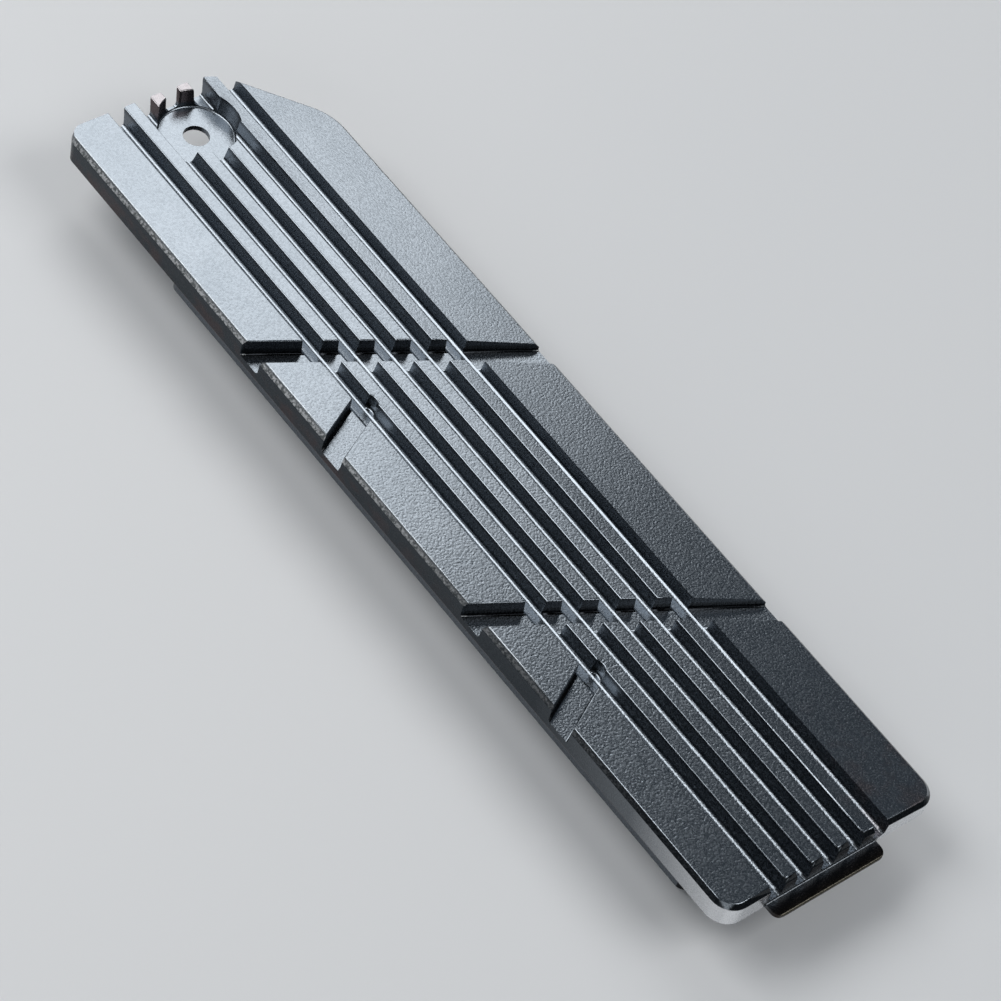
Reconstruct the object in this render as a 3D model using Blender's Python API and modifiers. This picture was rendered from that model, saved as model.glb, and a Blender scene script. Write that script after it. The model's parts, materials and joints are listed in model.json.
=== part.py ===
"""SSD heat sink: a milled aluminium bay cover with cooling ribs, and the thermal pad below it.

X runs along the length from the screw end to the tongue, Y across and Z up, in metres.
The origin is the middle of the footprint, on the floor the part rests on.
"""
import math

import bmesh
import bpy
from mathutils import Vector

# Plate
PLATE_LENGTH = 0.1321
PLATE_WIDTH = 0.0338
PLATE_THICKNESS = 0.0036
SCREW_CORNER_RADIUS = 0.0024
TONGUE_CORNER_RADIUS = 0.0029
CUT_LENGTH = 0.01185
CUT_WIDTH = 0.0102
CUT_OUTER_RADIUS = 0.0073
CUT_INNER_RADIUS = 0.0070
EDGE_CHAMFER = 0.00057
LOWER_CHAMFER = 0.0002
SCREW_END_LEAN = 0.0011

# Fall of the top per length across, from the last rib out to the +Y edge
SIDE_SLOPE = 0.0935

# Ribs and the grooves between them
RIB_COUNT = 4
RIB_PITCH = 0.00406
RIB_WIDTH = 0.00169
RIB_FIELD_Y = -0.00092
GROOVE_DEPTH = 0.00258
GROOVE_DRAFT = 0.08
GROOVE_FILLET = 0.00060

# Diagonal slots
SLOT_STATIONS = (0.0488, 0.0934)
SLOT_WIDTH = 0.0033
SLOT_DEPTH = 0.00239
SLOT_DRAFT = 0.02
SLOT_FILLET = 0.00030
SLOT_RUN = 0.50
SHORT_SLOT_STOP = 0.0002

# Screw seat
BORE_X = 0.0062
BORE_Y = -0.0005
BORE_RADIUS = 0.0054
BORE_DEPTH = 0.00285
BORE_DRAFT = 0.12
BORE_FILLET = 0.00030
SCREW_HOLE_DIAMETER = 0.0035

# Broken edge that every cutter leaves along the top
BROKEN_EDGE = 0.00012

# Tongue at the +X end
TONGUE_REACH = 0.0022
TONGUE_WIDTH = 0.0171
TONGUE_Y = -0.0016
TONGUE_THICKNESS = 0.0006
TONGUE_RADIUS = 0.0012
TONGUE_COVE = 0.0003
TONGUE_ROUND = 0.0003
TONGUE_LIFT = 0.00007
COVE_BITE = 0.0001

# Contact block below the plate
BLOCK_START = 0.0206
BLOCK_LENGTH = 0.1032
BLOCK_WIDTH = 0.0263
BLOCK_DEPTH = 0.0061
BLOCK_RADIUS = 0.0015
BLOCK_CHAMFER = 0.0002

# Thermal pad
PAD_THICKNESS = 0.0010
PAD_MARGIN = 0.0020
PAD_RADIUS = 0.0006
PAD_GAP = 0.0003

# Drawing fineness and overlap
ARC_STEPS = 8
BORE_STEPS = 64
FILLET_STEPS = 3
OVERRUN = 0.003
WELD = 0.0004
LEAST_RADIUS = 0.00015

# Derived heights and places
PLATE_BOTTOM = PAD_THICKNESS + PAD_GAP + BLOCK_DEPTH
TOP = PLATE_BOTTOM + PLATE_THICKNESS
SCREW_END_X = -(PLATE_LENGTH + TONGUE_REACH) / 2
TONGUE_END_X = SCREW_END_X + PLATE_LENGTH
HALF_WIDTH = PLATE_WIDTH / 2
GROOVE_COUNT = RIB_COUNT + 1
GROOVE_WIDTH = RIB_PITCH - RIB_WIDTH
FIRST_GROOVE_Y = RIB_FIELD_Y - RIB_PITCH * (GROOVE_COUNT - 1) / 2
LAST_GROOVE_Y = RIB_FIELD_Y + RIB_PITCH * (GROOVE_COUNT - 1) / 2
FOLD_Y = LAST_GROOVE_Y - GROOVE_WIDTH / 2 - RIB_WIDTH


def clear_scene():
    """Remove whatever the scene starts with."""
    for item in list(bpy.data.objects):
        bpy.data.objects.remove(item, do_unlink=True)
    for group in list(bpy.data.collections):
        bpy.data.collections.remove(group)


def new_collection(name):
    group = bpy.data.collections.new(name)
    bpy.context.scene.collection.children.link(group)
    return group


def new_material(name, colour, metallic, roughness):
    """A Principled material of one colour."""
    material = bpy.data.materials.new(name)
    material.use_nodes = True
    shader = material.node_tree.nodes["Principled BSDF"]
    shader.inputs["Base Color"].default_value = (*colour, 1.0)
    shader.inputs["Metallic"].default_value = metallic
    shader.inputs["Roughness"].default_value = roughness
    return material


def new_object(name, bm, group):
    """Turn a bmesh into an object of the given collection."""
    bmesh.ops.recalc_face_normals(bm, faces=bm.faces)
    mesh = bpy.data.meshes.new(name)
    bm.to_mesh(mesh)
    bm.free()
    item = bpy.data.objects.new(name, mesh)
    group.objects.link(item)
    return item


def rounded_outline(corners, radii, insets):
    """Counter-clockwise outline with arcs at its corners.

    insets moves the edge that starts at each corner inward, and every arc keeps the same number of points.
    """
    count = len(corners)
    lines = []
    for i in range(count):
        start, end = Vector(corners[i]), Vector(corners[(i + 1) % count])
        along = (end - start).normalized()
        inward = Vector((-along.y, along.x))
        lines.append((start + inward * insets[i], along))
    points = []
    for i in range(count):
        before, after = lines[i - 1], lines[i]
        cross = before[1].x * after[1].y - before[1].y * after[1].x
        gap = after[0] - before[0]
        reach = (gap.x * after[1].y - gap.y * after[1].x) / cross
        corner = before[0] + before[1] * reach
        radius = max(radii[i] - max(insets[i - 1], insets[i]), LEAST_RADIUS)
        turn = math.acos(max(-1.0, min(1.0, before[1].dot(after[1]))))
        tangent = radius * math.tan(turn / 2)
        centre = corner - before[1] * tangent + Vector((-before[1].y, before[1].x)) * radius
        first = math.atan2(-before[1].x, before[1].y)
        for k in range(ARC_STEPS + 1):
            angle = first + turn * k / ARC_STEPS
            points.append((centre.x + radius * math.cos(angle), centre.y + radius * math.sin(angle)))
    return points


def loft(rings):
    """Closed solid through rings of equal length, each a list of points from the lowest ring up."""
    bm = bmesh.new()
    loops = [[bm.verts.new(point) for point in ring] for ring in rings]
    for lower, upper in zip(loops, loops[1:]):
        for k in range(len(lower)):
            following = (k + 1) % len(lower)
            bm.faces.new((lower[k], lower[following], upper[following], upper[k]))
    bm.faces.new(list(reversed(loops[0])))
    bm.faces.new(loops[-1])
    return bm


def slab(corners, radii, levels):
    """Loft of a rounded outline through levels of height and per-edge insets."""
    rings = []
    for height, insets in levels:
        rings.append([(x, y, height) for x, y in rounded_outline(corners, radii, insets)])
    return loft(rings)


def rectangle(x0, x1, y0, y1):
    return [(x0, y0), (x1, y0), (x1, y1), (x0, y1)]


def mill_levels(depth, draft, fillet):
    """Heights and sideways offsets of a milled pocket, from its floor to above the top face."""
    floor = TOP - depth
    foot = -draft * (depth - fillet)
    levels = []
    for k in range(FILLET_STEPS + 1):
        angle = math.pi / 2 * k / FILLET_STEPS
        levels.append((floor + fillet * (1 - math.cos(angle)), foot - fillet * (1 - math.sin(angle))))
    levels.append((TOP - BROKEN_EDGE, -draft * BROKEN_EDGE))
    levels.append((TOP + OVERRUN, BROKEN_EDGE + OVERRUN))
    return levels


def pocket(outline, levels):
    """Cutter whose outline grows and shrinks with the offset of each level."""
    rings = []
    for height, offset in levels:
        rings.append([(x, y, height) for x, y in outline(offset)])
    return loft(rings)


def side_drop(y):
    """How far the last rib and the land beyond it lie below the other tops."""
    return SIDE_SLOPE * max(0.0, y - FOLD_Y)


def end_lean(height):
    """How far the screw end has leaned in at a height."""
    return SCREW_END_LEAN * (TOP - height) / PLATE_THICKNESS


def plate_mesh():
    """Plate with its cut corner, upper chamfer, leaning screw end and sloping side."""
    x0, x1 = SCREW_END_X, TONGUE_END_X
    corners = [(x0, -HALF_WIDTH), (x1, -HALF_WIDTH), (x1, HALF_WIDTH),
               (x0 + CUT_LENGTH, HALF_WIDTH), (x0, HALF_WIDTH - CUT_WIDTH)]
    radii = [SCREW_CORNER_RADIUS, TONGUE_CORNER_RADIUS, TONGUE_CORNER_RADIUS,
             CUT_OUTER_RADIUS, CUT_INNER_RADIUS]
    foot = TOP - EDGE_CHAMFER
    low = LOWER_CHAMFER
    levels = [
        (PLATE_BOTTOM, [low, low, low, low, low + end_lean(PLATE_BOTTOM)]),
        (PLATE_BOTTOM + low, [0.0, 0.0, 0.0, 0.0, end_lean(PLATE_BOTTOM + low)]),
        (foot, [0.0, 0.0, 0.0, 0.0, end_lean(foot)]),
        (TOP, [EDGE_CHAMFER, EDGE_CHAMFER, EDGE_CHAMFER, EDGE_CHAMFER, 0.0]),
    ]
    bm = slab(corners, radii, levels)
    # The fold runs along the last rib, so everything from that rib outward slopes down
    geometry = bm.verts[:] + bm.edges[:] + bm.faces[:]
    bmesh.ops.bisect_plane(bm, geom=geometry, plane_co=(0, FOLD_Y, 0), plane_no=(0, 1, 0))
    for vert in bm.verts:
        if vert.co.z > foot - LOWER_CHAMFER / 2:
            vert.co.z -= side_drop(vert.co.y)
    return bm


def block_mesh():
    """Contact block that reaches down from the plate to the drive."""
    x0 = SCREW_END_X + BLOCK_START
    corners = rectangle(x0, x0 + BLOCK_LENGTH, BORE_Y - BLOCK_WIDTH / 2, BORE_Y + BLOCK_WIDTH / 2)
    bottom = PLATE_BOTTOM - BLOCK_DEPTH
    levels = [
        (bottom, [BLOCK_CHAMFER] * 4),
        (bottom + BLOCK_CHAMFER, [0.0] * 4),
        (PLATE_BOTTOM + WELD, [0.0] * 4),
    ]
    return slab(corners, [BLOCK_RADIUS] * 4, levels)


def tongue_profile_mesh():
    """Side profile of the tongue, coved into the end wall and run across its full width."""
    bottom = PLATE_BOTTOM + TONGUE_LIFT
    top = bottom + TONGUE_THICKNESS
    tip = TONGUE_END_X + TONGUE_REACH
    root = TONGUE_END_X - TONGUE_REACH
    centre_x, centre_z = TONGUE_END_X + TONGUE_COVE - COVE_BITE, top + TONGUE_COVE
    outline = [(root, bottom), (tip - LOWER_CHAMFER, bottom), (tip, bottom + LOWER_CHAMFER)]
    for k in range(FILLET_STEPS + 1):
        angle = math.pi / 2 * k / FILLET_STEPS
        back, down = TONGUE_ROUND * (1 - math.cos(angle)), TONGUE_ROUND * (1 - math.sin(angle))
        outline.append((tip - back, top - down))
    for k in range(ARC_STEPS + 1):
        angle = math.pi / 2 * k / ARC_STEPS
        outline.append((centre_x - TONGUE_COVE * math.sin(angle), centre_z - TONGUE_COVE * math.cos(angle)))
    outline.append((root, centre_z))
    half = TONGUE_WIDTH / 2 + OVERRUN
    return loft([[(x, TONGUE_Y + side * half, z) for x, z in outline] for side in (-1, 1)])


def tongue_plan_mesh():
    """Plan shape of the tongue, with its rounded outer corners."""
    corners = rectangle(TONGUE_END_X - TONGUE_REACH / 2, TONGUE_END_X + TONGUE_REACH,
                        TONGUE_Y - TONGUE_WIDTH / 2, TONGUE_Y + TONGUE_WIDTH / 2)
    radii = [LEAST_RADIUS, TONGUE_RADIUS, TONGUE_RADIUS, LEAST_RADIUS]
    return slab(corners, radii, [(PLATE_BOTTOM - OVERRUN, [0.0] * 4), (TOP + OVERRUN, [0.0] * 4)])


def groove_outline(offset):
    half = GROOVE_WIDTH / 2 + offset
    x0, x1 = SCREW_END_X - OVERRUN, TONGUE_END_X + TONGUE_REACH + OVERRUN
    return rectangle(x0, x1, FIRST_GROOVE_Y - half, FIRST_GROOVE_Y + half)


def long_slot_outline(station):
    """Slot across the whole plate, running towards +X as it goes to +Y."""
    along = Vector((SLOT_RUN, 1.0)).normalized()
    across = Vector((along.y, -along.x))
    middle = Vector((SCREW_END_X + station, 0.0))
    reach = (HALF_WIDTH + OVERRUN) / along.y

    def outline(offset):
        half = SLOT_WIDTH / 2 + offset
        ends = (middle - along * reach, middle + along * reach)
        side = across * half
        ring = [ends[0] - side, ends[0] + side, ends[1] + side, ends[1] - side]
        return [(point.x, point.y) for point in ring]
    return outline


def short_slot_outline(station):
    """Mirrored slot that starts at the -Y side and ends, rounded, in the first groove."""
    along = Vector((-SLOT_RUN, 1.0)).normalized()
    across = Vector((along.y, -along.x))
    middle = Vector((SCREW_END_X + station, 0.0))
    start = middle - along * (HALF_WIDTH + OVERRUN) / along.y
    end = middle + along * (FIRST_GROOVE_Y - SHORT_SLOT_STOP) / along.y

    def outline(offset):
        half = SLOT_WIDTH / 2 + offset
        ring = [start - across * half, start + across * half]
        for k in range(2 * ARC_STEPS + 1):
            angle = math.pi * k / (2 * ARC_STEPS)
            ring.append(end + across * half * math.cos(angle) + along * half * math.sin(angle))
        return [(point.x, point.y) for point in ring]
    return outline


def circle_outline(radius):
    def outline(offset):
        size = radius + offset
        turns = [2 * math.pi * k / BORE_STEPS for k in range(BORE_STEPS)]
        return [(SCREW_END_X + BORE_X + size * math.cos(a), BORE_Y + size * math.sin(a)) for a in turns]
    return outline


def pad_mesh():
    """Soft pad on the contact face."""
    x0 = SCREW_END_X + BLOCK_START
    half = BLOCK_WIDTH / 2 - PAD_MARGIN
    corners = rectangle(x0 + PAD_MARGIN, x0 + BLOCK_LENGTH - PAD_MARGIN, BORE_Y - half, BORE_Y + half)
    return slab(corners, [PAD_RADIUS] * 4, [(0.0, [0.0] * 4), (PAD_THICKNESS, [0.0] * 4)])


def boolean(item, tool, operation):
    modifier = item.modifiers.new(tool.name, "BOOLEAN")
    modifier.operation = operation
    modifier.solver = "EXACT"
    modifier.object = tool


def build():
    clear_scene()
    parts = new_collection("ssd_heat_sink")
    cutters = new_collection("cutters")
    anodised = new_material("anodised_aluminium", (0.18, 0.20, 0.22), 1.0, 0.45)
    silicone = new_material("pad_silicone", (0.45, 0.47, 0.50), 0.0, 0.75)

    body = new_object("heat_sink_body", plate_mesh(), parts)
    body.data.materials.append(anodised)
    pad = new_object("thermal_pad", pad_mesh(), parts)
    pad.data.materials.append(silicone)

    block = new_object("block_form", block_mesh(), cutters)
    tongue = new_object("tongue_form", tongue_profile_mesh(), cutters)
    tongue_plan = new_object("tongue_plan_form", tongue_plan_mesh(), cutters)
    boolean(tongue, tongue_plan, "INTERSECT")
    boolean(body, block, "UNION")
    boolean(body, tongue, "UNION")

    groove_levels = mill_levels(GROOVE_DEPTH, GROOVE_DRAFT, GROOVE_FILLET)
    groove = new_object("groove_cutter", pocket(groove_outline, groove_levels), cutters)
    rows = groove.modifiers.new("grooves", "ARRAY")
    rows.count = GROOVE_COUNT
    rows.use_relative_offset = False
    rows.use_constant_offset = True
    rows.constant_offset_displace = (0.0, RIB_PITCH, 0.0)
    boolean(body, groove, "DIFFERENCE")

    slot_levels = mill_levels(SLOT_DEPTH, SLOT_DRAFT, SLOT_FILLET)
    for number, station in enumerate(SLOT_STATIONS, 1):
        for kind, outline in (("long", long_slot_outline(station)), ("short", short_slot_outline(station))):
            slot = new_object(f"{kind}_slot_cutter_{number}", pocket(outline, slot_levels), cutters)
            boolean(body, slot, "DIFFERENCE")

    bore_levels = mill_levels(BORE_DEPTH, BORE_DRAFT, BORE_FILLET)
    bore = new_object("bore_cutter", pocket(circle_outline(BORE_RADIUS), bore_levels), cutters)
    boolean(body, bore, "DIFFERENCE")
    hole_levels = [(PLATE_BOTTOM - OVERRUN, 0.0), (TOP + OVERRUN, 0.0)]
    hole = new_object("hole_cutter", pocket(circle_outline(SCREW_HOLE_DIAMETER / 2), hole_levels), cutters)
    boolean(body, hole, "DIFFERENCE")

    for item in cutters.objects:
        item.hide_render = True
        item.display_type = "WIRE"
    for item in (body, pad):
        item.data.set_sharp_from_angle(angle=math.radians(30))


build()
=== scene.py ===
"""Looks of the SSD heat sink: finer edges, anodised metal, the thermal pad, and a pale studio around them.

Everything is in metres in the part's own frame: X along the length, Y across, Z up from the floor.
"""

import json
import math

import bmesh
import bpy
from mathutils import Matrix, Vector
from mathutils.noise import noise as noise_at

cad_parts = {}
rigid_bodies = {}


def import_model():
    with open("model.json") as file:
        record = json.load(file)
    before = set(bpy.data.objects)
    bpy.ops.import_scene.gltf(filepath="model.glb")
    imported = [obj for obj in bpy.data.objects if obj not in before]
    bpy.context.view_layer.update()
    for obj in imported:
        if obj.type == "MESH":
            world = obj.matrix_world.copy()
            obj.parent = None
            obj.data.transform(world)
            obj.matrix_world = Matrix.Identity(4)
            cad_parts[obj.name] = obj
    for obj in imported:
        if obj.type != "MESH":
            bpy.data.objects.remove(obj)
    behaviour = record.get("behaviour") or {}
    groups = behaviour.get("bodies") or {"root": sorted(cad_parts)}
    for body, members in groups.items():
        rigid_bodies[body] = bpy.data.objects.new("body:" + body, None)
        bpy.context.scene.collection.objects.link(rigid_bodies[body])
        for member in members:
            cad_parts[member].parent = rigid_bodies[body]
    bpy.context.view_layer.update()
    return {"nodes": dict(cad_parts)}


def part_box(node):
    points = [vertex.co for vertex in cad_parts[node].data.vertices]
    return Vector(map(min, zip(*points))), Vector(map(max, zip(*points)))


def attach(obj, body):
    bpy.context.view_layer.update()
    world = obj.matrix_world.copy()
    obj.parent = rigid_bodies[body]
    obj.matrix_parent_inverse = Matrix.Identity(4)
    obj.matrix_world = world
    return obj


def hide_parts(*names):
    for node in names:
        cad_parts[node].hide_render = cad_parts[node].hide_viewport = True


# Camera of the photograph
CAMERA_PLACE = (0.18158265, -0.23651567, 0.35495821)
CAMERA_TURN = (0.6748667, -0.2156699, 0.9073362)
CAMERA_LENS = 136.6633
CAMERA_SENSOR = 36.0
CAMERA_CLIP = (0.01, 10.0)

# Softboxes, each with its place, size, turn and watts. They shine straight down where they aren't tipped.
SOFTBOXES = {
    # Over the screw end, where the tops mirror it
    "key": ((-0.552, 0.330, 0.50), (0.55, 0.51), (0.0, 0.0, math.radians(22)), 2.4),
    # Brighter, on the key's near side, where the broken edges and the feet of the grooves mirror it
    "line": ((-0.31, -0.33, 0.495), (0.48, 0.42), (0.0, 0.0, math.radians(20)), 2.6),
    # Where no face that the camera sees mirrors it, so that it lights the floor alone
    "fill": ((0.50, 0.30, 0.60), (0.5, 0.5), (0.0, 0.0, 0.0), 2.9),
    # Wide, behind the camera, where the tops mirror it when they are seen from the other side
    "back": ((0.75, -0.95, 0.45), (1.2, 0.7), (math.radians(70), 0.0, math.radians(38)), 2.6),
}
WORLD_COLOUR = (0.70, 0.84, 1.00)
WORLD_STRENGTH = 0.10

FLOOR_HALF = 3.0
FLOOR_NOISE = (6.0, 2.0, 0.5)
FLOOR_COLOURS = ((0.71, 0.72, 0.73), (0.74, 0.745, 0.75))
FLOOR_ROUGHNESS = 0.9
FLOOR_SPECULAR = 0.1

# Shape and shading of the metal piece. Slopes are parts of the unit normal.
WELD = 1e-6
FLAT_ANGLE = math.radians(0.6)       # faces that turn less than this become one
SOFT_ANGLE = math.radians(32)        # edges that turn less than this are shaded as one curve
STEEP_ANGLE = math.radians(62)       # so are edges up to this one, beside a narrow strip
STRIP_WIDTH = 0.00035                # widest face that counts as a narrow strip, such as a broken edge
FLAT_AREA = 2.6e-6                   # larger faces stay flat, unless they are strips
LEVEL_SLOPE = 0.99                   # upward slope from which a face counts as level, and stays flat
BROKEN_SLOPE = (0.6, 0.8)            # upward slopes of the cutters' broken edges
BROKEN_HEIGHT = 0.0095               # height above which they lie
AWAY_SLOPE = 0.5                     # slope to +Y of those that face away from the line softbox
EDGE_ROUND = 0.00007
EDGE_STEPS = 2

# Noises, each as scale, detail and roughness
GRAIN_NOISE = (3600.0, 0.0, 0.5)
FINE_NOISE = (6500.0, 0.0, 0.5)
CLOUD_NOISE = (90.0, 3.0, 0.6)
SPECK_NOISE = (2600.0, 2.0, 0.6)
BROWN_TINT_NOISE = (260.0, 2.0, 0.6)
PATCH_NOISE = (330.0, 2.0, 0.6)
CLOUD_STOPS = (0.3, 0.7)

# The metal's tints lie where their masks are 1. Each pair of limits below runs from where a mask is 0 to
# where it is 1, as places (ACROSS: distance from the middle line), slopes or strengths of noise (SPREAD).

# Tops and floors, and the walls, slightly darker with painted shade, which is darkest just under their edge
TOP_COLOURS = ((0.223, 0.250, 0.277), (0.256, 0.284, 0.313))
SHADED_WALL_COLOURS = ((0.150, 0.168, 0.190), (0.172, 0.192, 0.216))
WALL_SLOPE_Z = (0.6, 0.3)
UNDER_EDGE_Z = (0.0102, 0.0107)
UNDER_EDGE_SHADES = ((0.0, (1.0, 1.0, 1.0)), (1.0, (0.45, 0.45, 0.45)))

# Painted shade: the walls and feet of the slots, which stay in the dark, are painted near black
SLOT_SLOPE_X = (0.4, 0.6)
SLOT_SHADE_COLOUR = (0.05, 0.056, 0.064)
FOOT_SLOPE_X = (0.15, 0.22)
FOOT_SLOPE_Z = (0.985, 0.975)
FOOT_Z = (0.0098, 0.0094)
FOOT_X = (-0.050, -0.048)
FOOT_SHADE_COLOUR = (0.02, 0.022, 0.025)

# Painted highlight: a thin lighter line along the outer edges of the lands
LINE_ACROSS = (0.01622, 0.01628)
LINE_SLOPE_Z = (0.90, 0.95)
LINE_X = (0.05, 0.03)
LINE_Z = (0.0090, 0.0094)
EDGE_HIGHLIGHT_COLOUR = (0.44, 0.47, 0.50)

# Faint brown cast on the tops near the +Y corner of the tongue end
BROWN_TINT_X = (0.046, 0.060)
BROWN_TINT_Y = (0.004, 0.009)
BROWN_TINT_SPREAD = (0.45, 0.65)
BROWN_TINT_SHARE = 0.6
BROWN_TINT_COLOUR = (0.27, 0.21, 0.205)

# Outer long sides, painted dark as shade, with browner patches of painted reflection and a lighter lip of
# painted highlight, which turn to a silver painted reflection at the tongue end
SIDE_ACROSS = (0.0164, 0.0168)
CORNER_ACROSS = (0.0148, 0.0154)
CORNER_X = (0.0605, 0.0612)
SIDE_X = (0.030, 0.066)
SIDE_SHADE_AND_REFLECTION_COLOURS = ((0.0, (0.030, 0.038, 0.046)), (0.5, (0.150, 0.165, 0.180)), (1.0, (0.80, 0.81, 0.83)))
PATCH_SPREAD = (0.42, 0.62)
PATCH_Z = (0.0098, 0.0090)
PATCH_X = (0.02, -0.01)
BROWN_REFLECTION_COLOUR = (0.052, 0.041, 0.044)
LIP_Z = (0.00768, 0.00758)
LIP_SHARE = 0.8
LIP_HIGHLIGHT_COLOUR = (0.27, 0.235, 0.22)

# Painted highlight: a light, pinkish rim at the -Y corner of the screw end
PINK_X = (-0.0658, -0.0668)
PINK_Y = (-0.0138, -0.0145)
PINK_HIGHLIGHT_COLOUR = (0.62, 0.585, 0.62)

# Chamfer, duller than the rest and darker with painted shade, with light specks from the cutter; towards
# the tongue both fade into a near-black painted shade
CHAMFER_SLOPE_LOW = (0.30, 0.45)
CHAMFER_SLOPE_HIGH = (0.85, 0.75)
CHAMFER_ACROSS = (0.0162, 0.0164)
CHAMFER_X = (0.0640, 0.0642)
SHADED_CHAMFER_COLOUR = (0.10, 0.108, 0.112)
CHAMFER_DULL = (0.16, 0.0)
SPECK_SPREAD = (0.42, 0.60)
SPECK_Z = (0.01090, 0.01075)
SPECK_COLOUR = (0.40, 0.41, 0.42)
TONGUE_WARD_X = (-0.01, 0.05)
TONGUE_END_SHADE_COLOUR = (0.03, 0.034, 0.038)

# End wall, with a silver painted reflection on both sides of the tongue and a nearly black painted shade
# above it
END_SLOPE_X = (0.35, 0.6)
END_X = (0.0638, 0.0642)
END_SHADE_COLOUR = (0.035, 0.038, 0.042)
TONGUE_MIDDLE = -0.0016
BESIDE_TONGUE = (0.0086, 0.0090)
SILVER_SLOPE_Z = (0.35, 0.15)
SILVER_REFLECTION_COLOUR = (0.86, 0.87, 0.89)

# Tongue, painted dark as shade, which lifts to an olive tint towards its outer edge
TONGUE_X = (0.0648, 0.0650)
TONGUE_Z = (0.0086, 0.0084)
TONGUE_TINT_X = (0.0650, 0.0672)
TONGUE_SHADE_COLOURS = ((0.0, (0.10, 0.11, 0.12)), (0.35, (0.030, 0.030, 0.032)), (0.8, (0.030, 0.024, 0.020)),
                  (1.0, (0.10, 0.095, 0.075)))

# Stubs beside the screw seat, with brown walls in painted shade and pinkish tops with a painted highlight
STUB_X = (-0.0630, -0.0634)
STUB_Z = (0.0088, 0.0092)
STUB_MIDDLE = -0.0009
STUB_REACH = (0.0034, 0.0031)
STUB_TOP_HIGHLIGHT_COLOUR = (0.30, 0.285, 0.295)
STUB_WALL_SHADE_COLOUR = (0.10, 0.080, 0.082)

# Grain of the blasted metal, coarser towards the tongue and calmer on the walls
GRAIN_SPREAD = (0.3, 0.7)
METAL_ROUGHNESS = (0.22, 0.29)
COARSE_X = (-0.05, 0.04)
COARSE_BUMP = (0.17, 0.42)
CALM_SLOPE_Z = (0.3, 0.99)
CALM_SHARE = (0.12, 1.0)
FINE_DEPTH = 0.00002
GRAIN_DEPTH = 0.00005

# Thermal pad: its corners, the spacing of its outline's points, and how far the cut wavers
PAD_RADIUS = 0.0006
PAD_ARC_STEPS = 6
PAD_STEP = 0.0012
PAD_WAVER = 0.00006
PAD_WAVER_SCALE = 420.0
# Its edge, from the lower face out, up and back onto the upper one, as insets and parts of the height
PAD_PROFILE = ((0.00050, 0.03), (0.00022, 0.0), (0.00008, 0.05), (0.00001, 0.18), (0.0, 0.40),
               (0.0, 0.62), (0.00002, 0.84), (0.00010, 0.96), (0.00026, 1.0), (0.00050, 0.97))
PAD_GRAIN_NOISE = (3000.0, 2.0, 0.6)
PAD_CLOUD_NOISE = (220.0, 3.0, 0.6)
PAD_COLOURS = ((0.42, 0.44, 0.47), (0.49, 0.51, 0.54))
PAD_ROUGHNESS = (0.62, 0.82)
PAD_BUMP = 0.25
PAD_GRAIN_DEPTH = 0.00005

# Sockets of a Mix node that mixes colours
MIX_FACTOR, MIX_FIRST, MIX_SECOND, MIX_RESULT = 0, 6, 7, 2


for item in list(bpy.data.objects):
    bpy.data.objects.remove(item, do_unlink=True)
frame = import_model()


def rgba(colour):
    """A plain colour with its alpha, or a socket as it is."""
    return (*colour, 1.0) if isinstance(colour, tuple) else colour


class Nodes:
    """Short way to write a material's node tree."""

    def __init__(self, name):
        self.material = bpy.data.materials.new(name)
        self.material.use_nodes = True
        self.tree = self.material.node_tree
        self.shader = self.tree.nodes["Principled BSDF"]
        self.place = self.add("ShaderNodeTexCoord").outputs["Object"]

    def feed(self, node, inputs):
        """Give each input another node's output or a plain value."""
        for key, source in inputs.items():
            if isinstance(source, bpy.types.NodeSocket):
                self.tree.links.new(source, node.inputs[key])
            else:
                node.inputs[key].default_value = source

    def add(self, kind, inputs=None, **settings):
        node = self.tree.nodes.new(kind)
        for key, value in settings.items():
            setattr(node, key, value)
        self.feed(node, inputs or {})
        return node

    def split(self, vector):
        """X, Y and Z of a vector."""
        parts = self.add("ShaderNodeSeparateXYZ", {"Vector": vector}).outputs
        return parts["X"], parts["Y"], parts["Z"]

    def noise(self, scale, detail, roughness):
        inputs = {"Vector": self.place, "Scale": scale, "Detail": detail, "Roughness": roughness}
        return self.add("ShaderNodeTexNoise", inputs).outputs["Fac"]

    def ramp(self, factor, stops):
        node = self.add("ShaderNodeValToRGB", {"Fac": factor})
        elements = node.color_ramp.elements
        while len(elements) < len(stops):
            elements.new(0.5)
        for element, (place, colour) in zip(elements, stops):
            element.position = place
            element.color = rgba(colour)
        return node.outputs["Color"]

    def clouded(self, clouds, colours):
        """Colour that drifts from the first to the second with the clouds."""
        return self.ramp(clouds, list(zip(CLOUD_STOPS, colours)))

    def math(self, operation, *values):
        return self.add("ShaderNodeMath", dict(enumerate(values)), operation=operation).outputs[0]

    def product(self, *factors):
        total = factors[0]
        for factor in factors[1:]:
            total = self.math("MULTIPLY", total, factor)
        return total

    def remap(self, value, limits, results):
        """First result up to the first limit, second from the second on, and even steps between them."""
        inputs = {"Value": value, "From Min": limits[0], "From Max": limits[1],
                  "To Min": results[0], "To Max": results[1]}
        return self.add("ShaderNodeMapRange", inputs).outputs[0]

    def mask(self, value, limits):
        return self.remap(value, limits, (0.0, 1.0))

    def mix(self, factor, first, second, blend="MIX"):
        inputs = {MIX_FACTOR: factor, MIX_FIRST: rgba(first), MIX_SECOND: rgba(second)}
        return self.add("ShaderNodeMix", inputs, data_type="RGBA", blend_type=blend).outputs[MIX_RESULT]

    def bump(self, height, strength, depth, **inputs):
        inputs |= {"Height": height, "Strength": strength, "Distance": depth}
        return self.add("ShaderNodeBump", inputs).outputs[0]


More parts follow.
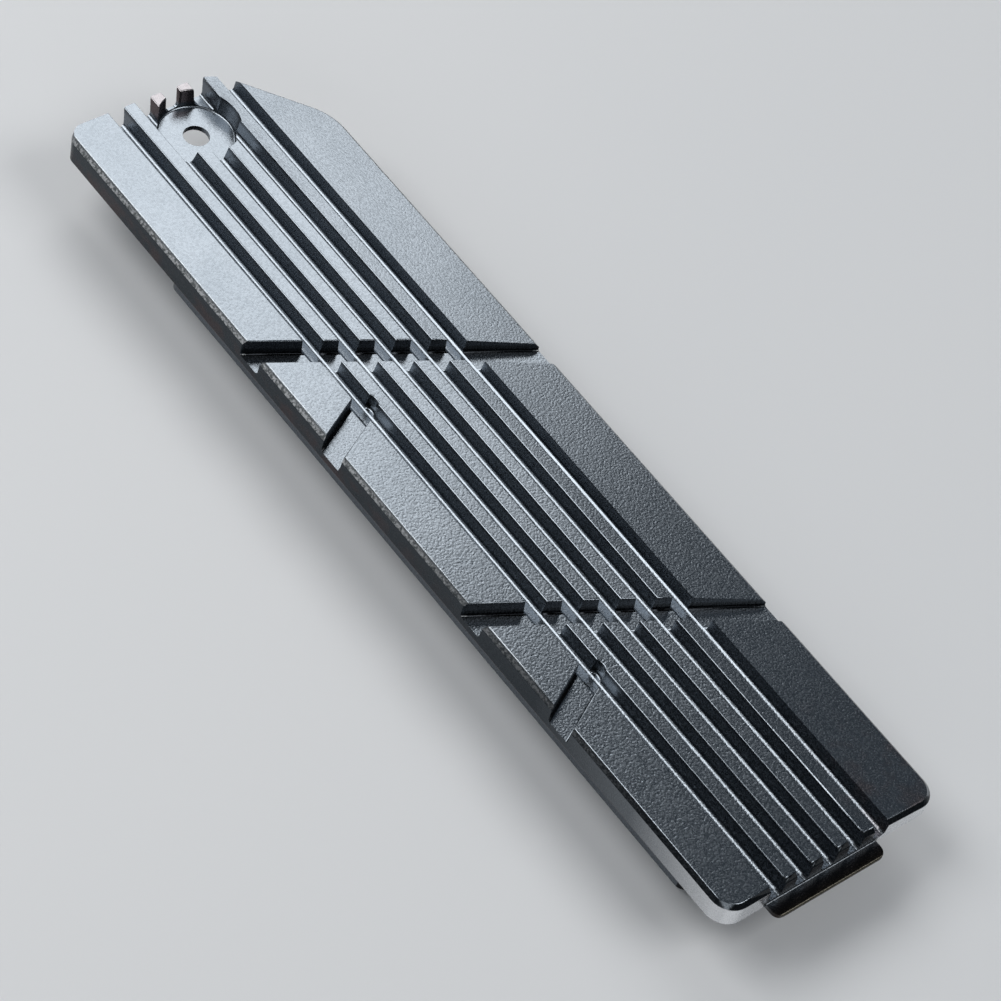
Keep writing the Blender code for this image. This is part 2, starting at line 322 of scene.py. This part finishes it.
class MetalNodes(Nodes):
    """The metal's nodes, with the places, slopes and masks that several tints share."""

    def __init__(self):
        super().__init__("anodised_metal")
        self.x, self.y, self.z = self.split(self.place)
        self.across = self.math("ABSOLUTE", self.y)
        normal = self.add("ShaderNodeNewGeometry").outputs["True Normal"]
        self.slope_x, _, self.slope_z = self.split(normal)
        self.upright = self.mask(self.slope_z, WALL_SLOPE_Z)
        self.tongue_ward = self.mask(self.x, TONGUE_WARD_X)
        outer = self.math("MAXIMUM", self.mask(self.across, CHAMFER_ACROSS), self.mask(self.x, CHAMFER_X))
        self.chamfer = self.product(self.mask(self.slope_z, CHAMFER_SLOPE_LOW),
                                    self.mask(self.slope_z, CHAMFER_SLOPE_HIGH), outer)

    def distance_from(self, middle):
        """Distance across from a middle line of its own."""
        return self.math("ABSOLUTE", self.math("SUBTRACT", self.y, middle))


def tint_tops_and_walls(nodes):
    clouds = nodes.noise(*CLOUD_NOISE)
    # Painted shade: walls darker than the tops, and darkest just under their edge
    under_edge = nodes.ramp(nodes.mask(nodes.z, UNDER_EDGE_Z), UNDER_EDGE_SHADES)
    walls = nodes.mix(1.0, nodes.clouded(clouds, SHADED_WALL_COLOURS), under_edge, "MULTIPLY")
    return nodes.mix(nodes.upright, nodes.clouded(clouds, TOP_COLOURS), walls)


def tint_slots(nodes, base):
    # Painted shade on the slot walls and on the feet beside them
    slot_wall = nodes.product(nodes.mask(nodes.slope_x, SLOT_SLOPE_X), nodes.upright)
    foot = nodes.product(nodes.mask(nodes.slope_x, FOOT_SLOPE_X), nodes.mask(nodes.slope_z, FOOT_SLOPE_Z),
                         nodes.mask(nodes.z, FOOT_Z), nodes.mask(nodes.x, FOOT_X))
    return nodes.mix(foot, nodes.mix(slot_wall, base, SLOT_SHADE_COLOUR), FOOT_SHADE_COLOUR)


def tint_lands(nodes, base):
    # Painted highlight along the outer edges of the lands
    edge_highlight = nodes.product(nodes.mask(nodes.across, LINE_ACROSS),
                              nodes.mask(nodes.slope_z, LINE_SLOPE_Z),
                              nodes.mask(nodes.x, LINE_X), nodes.mask(nodes.z, LINE_Z))
    base = nodes.mix(edge_highlight, base, EDGE_HIGHLIGHT_COLOUR)
    brown_tint = nodes.product(nodes.mask(nodes.x, BROWN_TINT_X), nodes.mask(nodes.y, BROWN_TINT_Y),
                          nodes.mask(nodes.noise(*BROWN_TINT_NOISE), BROWN_TINT_SPREAD), BROWN_TINT_SHARE)
    return nodes.mix(brown_tint, base, BROWN_TINT_COLOUR)


def tint_sides(nodes, base):
    corners = nodes.product(nodes.mask(nodes.across, CORNER_ACROSS), nodes.mask(nodes.x, CORNER_X))
    rim = nodes.math("MAXIMUM", nodes.mask(nodes.across, SIDE_ACROSS), corners)
    side = nodes.product(rim, nodes.upright)
    # Painted shade and reflection on the outer sides, silver at the tongue end, and a painted highlight on
    # the lip
    brown_reflection = nodes.product(nodes.mask(nodes.noise(*PATCH_NOISE), PATCH_SPREAD),
                            nodes.mask(nodes.z, PATCH_Z), nodes.mask(nodes.x, PATCH_X))
    side_shade_and_reflection = nodes.mix(brown_reflection, nodes.ramp(nodes.mask(nodes.x, SIDE_X), SIDE_SHADE_AND_REFLECTION_COLOURS), BROWN_REFLECTION_COLOUR)
    base = nodes.mix(side, base, side_shade_and_reflection)
    base = nodes.mix(nodes.product(side, nodes.mask(nodes.z, LIP_Z), LIP_SHARE), base, LIP_HIGHLIGHT_COLOUR)
    # Painted highlight on the -Y corner of the screw end
    pink_highlight = nodes.product(nodes.mask(nodes.x, PINK_X), nodes.mask(nodes.y, PINK_Y), nodes.upright)
    return nodes.mix(pink_highlight, base, PINK_HIGHLIGHT_COLOUR)


def tint_chamfer(nodes, base):
    # Painted shade on the chamfer, near black towards the tongue
    speckled = nodes.product(nodes.mask(nodes.noise(*SPECK_NOISE), SPECK_SPREAD),
                             nodes.mask(nodes.z, SPECK_Z))
    colour = nodes.mix(nodes.tongue_ward, nodes.mix(speckled, SHADED_CHAMFER_COLOUR, SPECK_COLOUR), TONGUE_END_SHADE_COLOUR)
    return nodes.mix(nodes.chamfer, base, colour)


def tint_tongue_end(nodes, base):
    # Painted reflection and painted shade on the end wall
    end_wall = nodes.product(nodes.mask(nodes.slope_x, END_SLOPE_X), nodes.mask(nodes.x, END_X),
                             nodes.upright)
    beside = nodes.mask(nodes.distance_from(TONGUE_MIDDLE), BESIDE_TONGUE)
    silver_reflection = nodes.product(beside, nodes.mask(nodes.slope_z, SILVER_SLOPE_Z))
    base = nodes.mix(end_wall, base, nodes.mix(silver_reflection, END_SHADE_COLOUR, SILVER_REFLECTION_COLOUR))
    # Painted shade on the tongue, lighter towards its outer edge
    tongue = nodes.product(nodes.mask(nodes.x, TONGUE_X), nodes.mask(nodes.z, TONGUE_Z),
                           nodes.math("SUBTRACT", 1.0, nodes.product(beside, end_wall)))
    return nodes.mix(tongue, base, nodes.ramp(nodes.mask(nodes.x, TONGUE_TINT_X), TONGUE_SHADE_COLOURS))


def tint_stubs(nodes, base):
    # Painted shade on the stubs' walls and a painted highlight on their tops
    stubs = nodes.product(nodes.mask(nodes.x, STUB_X),
                          nodes.mask(nodes.distance_from(STUB_MIDDLE), STUB_REACH),
                          nodes.mask(nodes.z, STUB_Z))
    return nodes.mix(stubs, base, nodes.mix(nodes.upright, STUB_TOP_HIGHLIGHT_COLOUR, STUB_WALL_SHADE_COLOUR))


def anodised_metal():
    """Bead-blasted, anodised aluminium with a fine grain, and tints of painted shade, highlight and
    reflection on its walls, sides and ends.
    """
    nodes = MetalNodes()
    base = tint_tops_and_walls(nodes)
    for tint in (tint_slots, tint_lands, tint_sides, tint_chamfer, tint_tongue_end, tint_stubs):
        base = tint(nodes, base)

    grain = nodes.noise(*GRAIN_NOISE)
    roughness = nodes.math("ADD", nodes.remap(grain, GRAIN_SPREAD, METAL_ROUGHNESS),
                           nodes.product(nodes.chamfer, nodes.remap(nodes.tongue_ward, (0.0, 1.0), CHAMFER_DULL)))
    strength = nodes.product(nodes.remap(nodes.x, COARSE_X, COARSE_BUMP),
                             nodes.remap(nodes.slope_z, CALM_SLOPE_Z, CALM_SHARE))
    fine = nodes.bump(nodes.noise(*FINE_NOISE), strength, FINE_DEPTH)
    nodes.feed(nodes.shader, {"Base Color": base, "Metallic": 1.0, "Roughness": roughness,
                              "Normal": nodes.bump(grain, strength, GRAIN_DEPTH, Normal=fine)})
    return nodes.material


def pad_silicone():
    """Soft, slightly dusty silicone with fine filler grains."""
    nodes = Nodes("silicone")
    grain = nodes.noise(*PAD_GRAIN_NOISE)
    nodes.feed(nodes.shader, {"Base Color": nodes.clouded(nodes.noise(*PAD_CLOUD_NOISE), PAD_COLOURS),
                              "Roughness": nodes.remap(grain, GRAIN_SPREAD, PAD_ROUGHNESS),
                              "Normal": nodes.bump(grain, PAD_BUMP, PAD_GRAIN_DEPTH)})
    return nodes.material


def floor_paint():
    nodes = Nodes("floor_paint")
    nodes.feed(nodes.shader, {"Base Color": nodes.clouded(nodes.noise(*FLOOR_NOISE), FLOOR_COLOURS),
                              "Roughness": FLOOR_ROUGHNESS, "Specular IOR Level": FLOOR_SPECULAR})
    return nodes.material


def width_of(face):
    """Rough width of a face, taken across its longest edge."""
    return face.calc_area() / max(edge.calc_length() for edge in face.edges)


def narrowest(edge):
    """Width of the narrower face beside an edge."""
    return min(map(width_of, edge.link_faces))


def is_smooth(edge):
    """Small turns are smooth, and so are steeper ones beside a narrow strip."""
    if not edge.is_manifold:
        return False
    angle = edge.calc_face_angle(math.pi)
    return angle < SOFT_ANGLE or (angle < STEEP_ANGLE and narrowest(edge) < STRIP_WIDTH)


def is_level(face):
    return abs(face.normal.z) > LEVEL_SLOPE


def fan_of(loop, smooth):
    """Faces round a face's corner that smooth edges join to it, nearest first."""
    fan = [loop.face]
    for face in fan:
        for edge in face.edges:
            if loop.vert in edge.verts and edge in smooth:
                fan += [other for other in edge.link_faces if other not in fan]
    return fan


def corner_normals(bm):
    """Normals that keep level and large faces flat, so that only the strips between them look round.

    A broken edge turns from the level face beside it to its own slope, so that it mirrors the line softbox
    in one thin stripe. One that faces away keeps its own slope, and stays dark.
    """
    smooth = {edge for edge in bm.edges if is_smooth(edge)}
    area = {face: face.calc_area() for face in bm.faces}
    normals = []
    for face in bm.faces:
        narrow = width_of(face) < STRIP_WIDTH
        flat = is_level(face) or (area[face] > FLAT_AREA and not narrow)
        broken = (narrow and BROKEN_SLOPE[0] < face.normal.z < BROKEN_SLOPE[1]
                  and face.calc_center_median().z > BROKEN_HEIGHT)
        away = broken and face.normal.y > AWAY_SLOPE
        for loop in face.loops:
            if flat or away:
                normals.append(face.normal.copy())
                continue
            fan = fan_of(loop, smooth)
            if broken:
                beside = [other for other in fan if is_level(other)] or [face]
                normals.append(beside[0].normal.copy())
            else:
                total = sum((other.normal * area[other] ** 2 for other in fan), Vector())
                normals.append(total.normalized())
    return normals


def round_edges(bm):
    """Round the edges between two wide faces, which the cutters' broken edges leave out."""
    edges = [edge for edge in bm.edges
             if edge.is_manifold and edge.is_convex and edge.calc_length() >= STRIP_WIDTH
             and narrowest(edge) > STRIP_WIDTH and SOFT_ANGLE < edge.calc_face_angle() < STEEP_ANGLE]
    bmesh.ops.bevel(bm, geom=edges, offset=EDGE_ROUND, offset_type="OFFSET", segments=EDGE_STEPS,
                    profile=0.5, affect="EDGES", clamp_overlap=False)


def add_object(name, bm, material):
    """New object with the shape of a bmesh, which is freed."""
    mesh = bpy.data.meshes.new(name)
    bm.to_mesh(mesh)
    bm.free()
    mesh.materials.append(material)
    added = bpy.data.objects.new(name, mesh)
    bpy.context.scene.collection.objects.link(added)
    return added


def shade_smooth(mesh):
    for polygon in mesh.polygons:
        polygon.use_smooth = True


def build_heat_sink():
    """Metal body: the CAD node's shape, welded, its flat faces made whole, and with finer edges."""
    bm = bmesh.new()
    bm.from_mesh(frame["nodes"]["heat_sink_body"].data)
    bmesh.ops.remove_doubles(bm, verts=bm.verts, dist=WELD)
    bmesh.ops.dissolve_limit(bm, angle_limit=FLAT_ANGLE, verts=bm.verts, edges=bm.edges)
    round_edges(bm)
    bm.normal_update()
    normals = corner_normals(bm)
    piece = add_object("heat_sink", bm, anodised_metal())
    shade_smooth(piece.data)
    piece.data.normals_split_custom_set(normals)
    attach(piece, "root")
    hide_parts("heat_sink_body")


def pad_outline(low, high):
    """Points around the pad's rounded rectangle, each with its way outward."""
    arcs = []
    for k, (side_x, side_y) in enumerate(((1, 1), (-1, 1), (-1, -1), (1, -1))):
        corner = Vector((high.x if side_x > 0 else low.x, high.y if side_y > 0 else low.y, 0.0))
        centre = corner - Vector((side_x, side_y, 0.0)) * PAD_RADIUS
        for step in range(PAD_ARC_STEPS + 1):
            angle = math.pi / 2 * (k + step / PAD_ARC_STEPS)
            outward = Vector((math.cos(angle), math.sin(angle), 0.0))
            arcs.append((centre + outward * PAD_RADIUS, outward))
    outline = []
    for k, (point, outward) in enumerate(arcs):
        next_point, next_outward = arcs[(k + 1) % len(arcs)]
        count = max(round((next_point - point).length / PAD_STEP), 1)
        for step in range(count):
            part = step / count
            outline.append((point.lerp(next_point, part), outward.lerp(next_outward, part).normalized()))
    return outline


def build_pad():
    """Thermal pad: a cut silicone strip with soft, slightly wavering edges."""
    low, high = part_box("thermal_pad")
    outline = pad_outline(low, high)
    bm = bmesh.new()
    rings = []
    for inset, part in PAD_PROFILE:
        ring = []
        for point, outward in outline:
            waver = PAD_WAVER * (0.5 + 0.5 * noise_at(point * PAD_WAVER_SCALE))
            place = point - outward * (inset + waver)
            ring.append(bm.verts.new((place.x, place.y, low.z + part * (high.z - low.z))))
        rings.append(ring)
    for lower, upper in zip(rings, rings[1:]):
        for k in range(len(lower)):
            after = (k + 1) % len(lower)
            bm.faces.new((lower[k], lower[after], upper[after], upper[k]))
    bm.faces.new(list(reversed(rings[0])))
    bm.faces.new(rings[-1])
    piece = add_object("pad_strip", bm, pad_silicone())
    shade_smooth(piece.data)
    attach(piece, "root")
    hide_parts("thermal_pad")


def build_camera():
    data = bpy.data.cameras.new("camera")
    data.lens = CAMERA_LENS
    data.sensor_width = CAMERA_SENSOR
    data.clip_start, data.clip_end = CAMERA_CLIP
    camera = bpy.data.objects.new("camera", data)
    camera.location = CAMERA_PLACE
    camera.rotation_euler = CAMERA_TURN
    bpy.context.scene.collection.objects.link(camera)
    bpy.context.scene.camera = camera


def build_floor():
    bm = bmesh.new()
    bmesh.ops.create_grid(bm, x_segments=1, y_segments=1, size=FLOOR_HALF)
    add_object("floor", bm, floor_paint())


def build_lights():
    world = bpy.data.worlds.new("studio")
    world.use_nodes = True
    background = world.node_tree.nodes["Background"]
    background.inputs["Color"].default_value = rgba(WORLD_COLOUR)
    background.inputs["Strength"].default_value = WORLD_STRENGTH
    bpy.context.scene.world = world

    for name, (place, size, turn, watts) in SOFTBOXES.items():
        data = bpy.data.lights.new(name, "AREA")
        data.shape = "RECTANGLE"
        data.size, data.size_y = size
        data.energy = watts
        light = bpy.data.objects.new(name, data)
        light.location = place
        light.rotation_euler = turn
        bpy.context.scene.collection.objects.link(light)


build_heat_sink()
build_pad()
build_camera()
build_floor()
build_lights()

bpy.context.scene.view_settings.view_transform = "Standard"
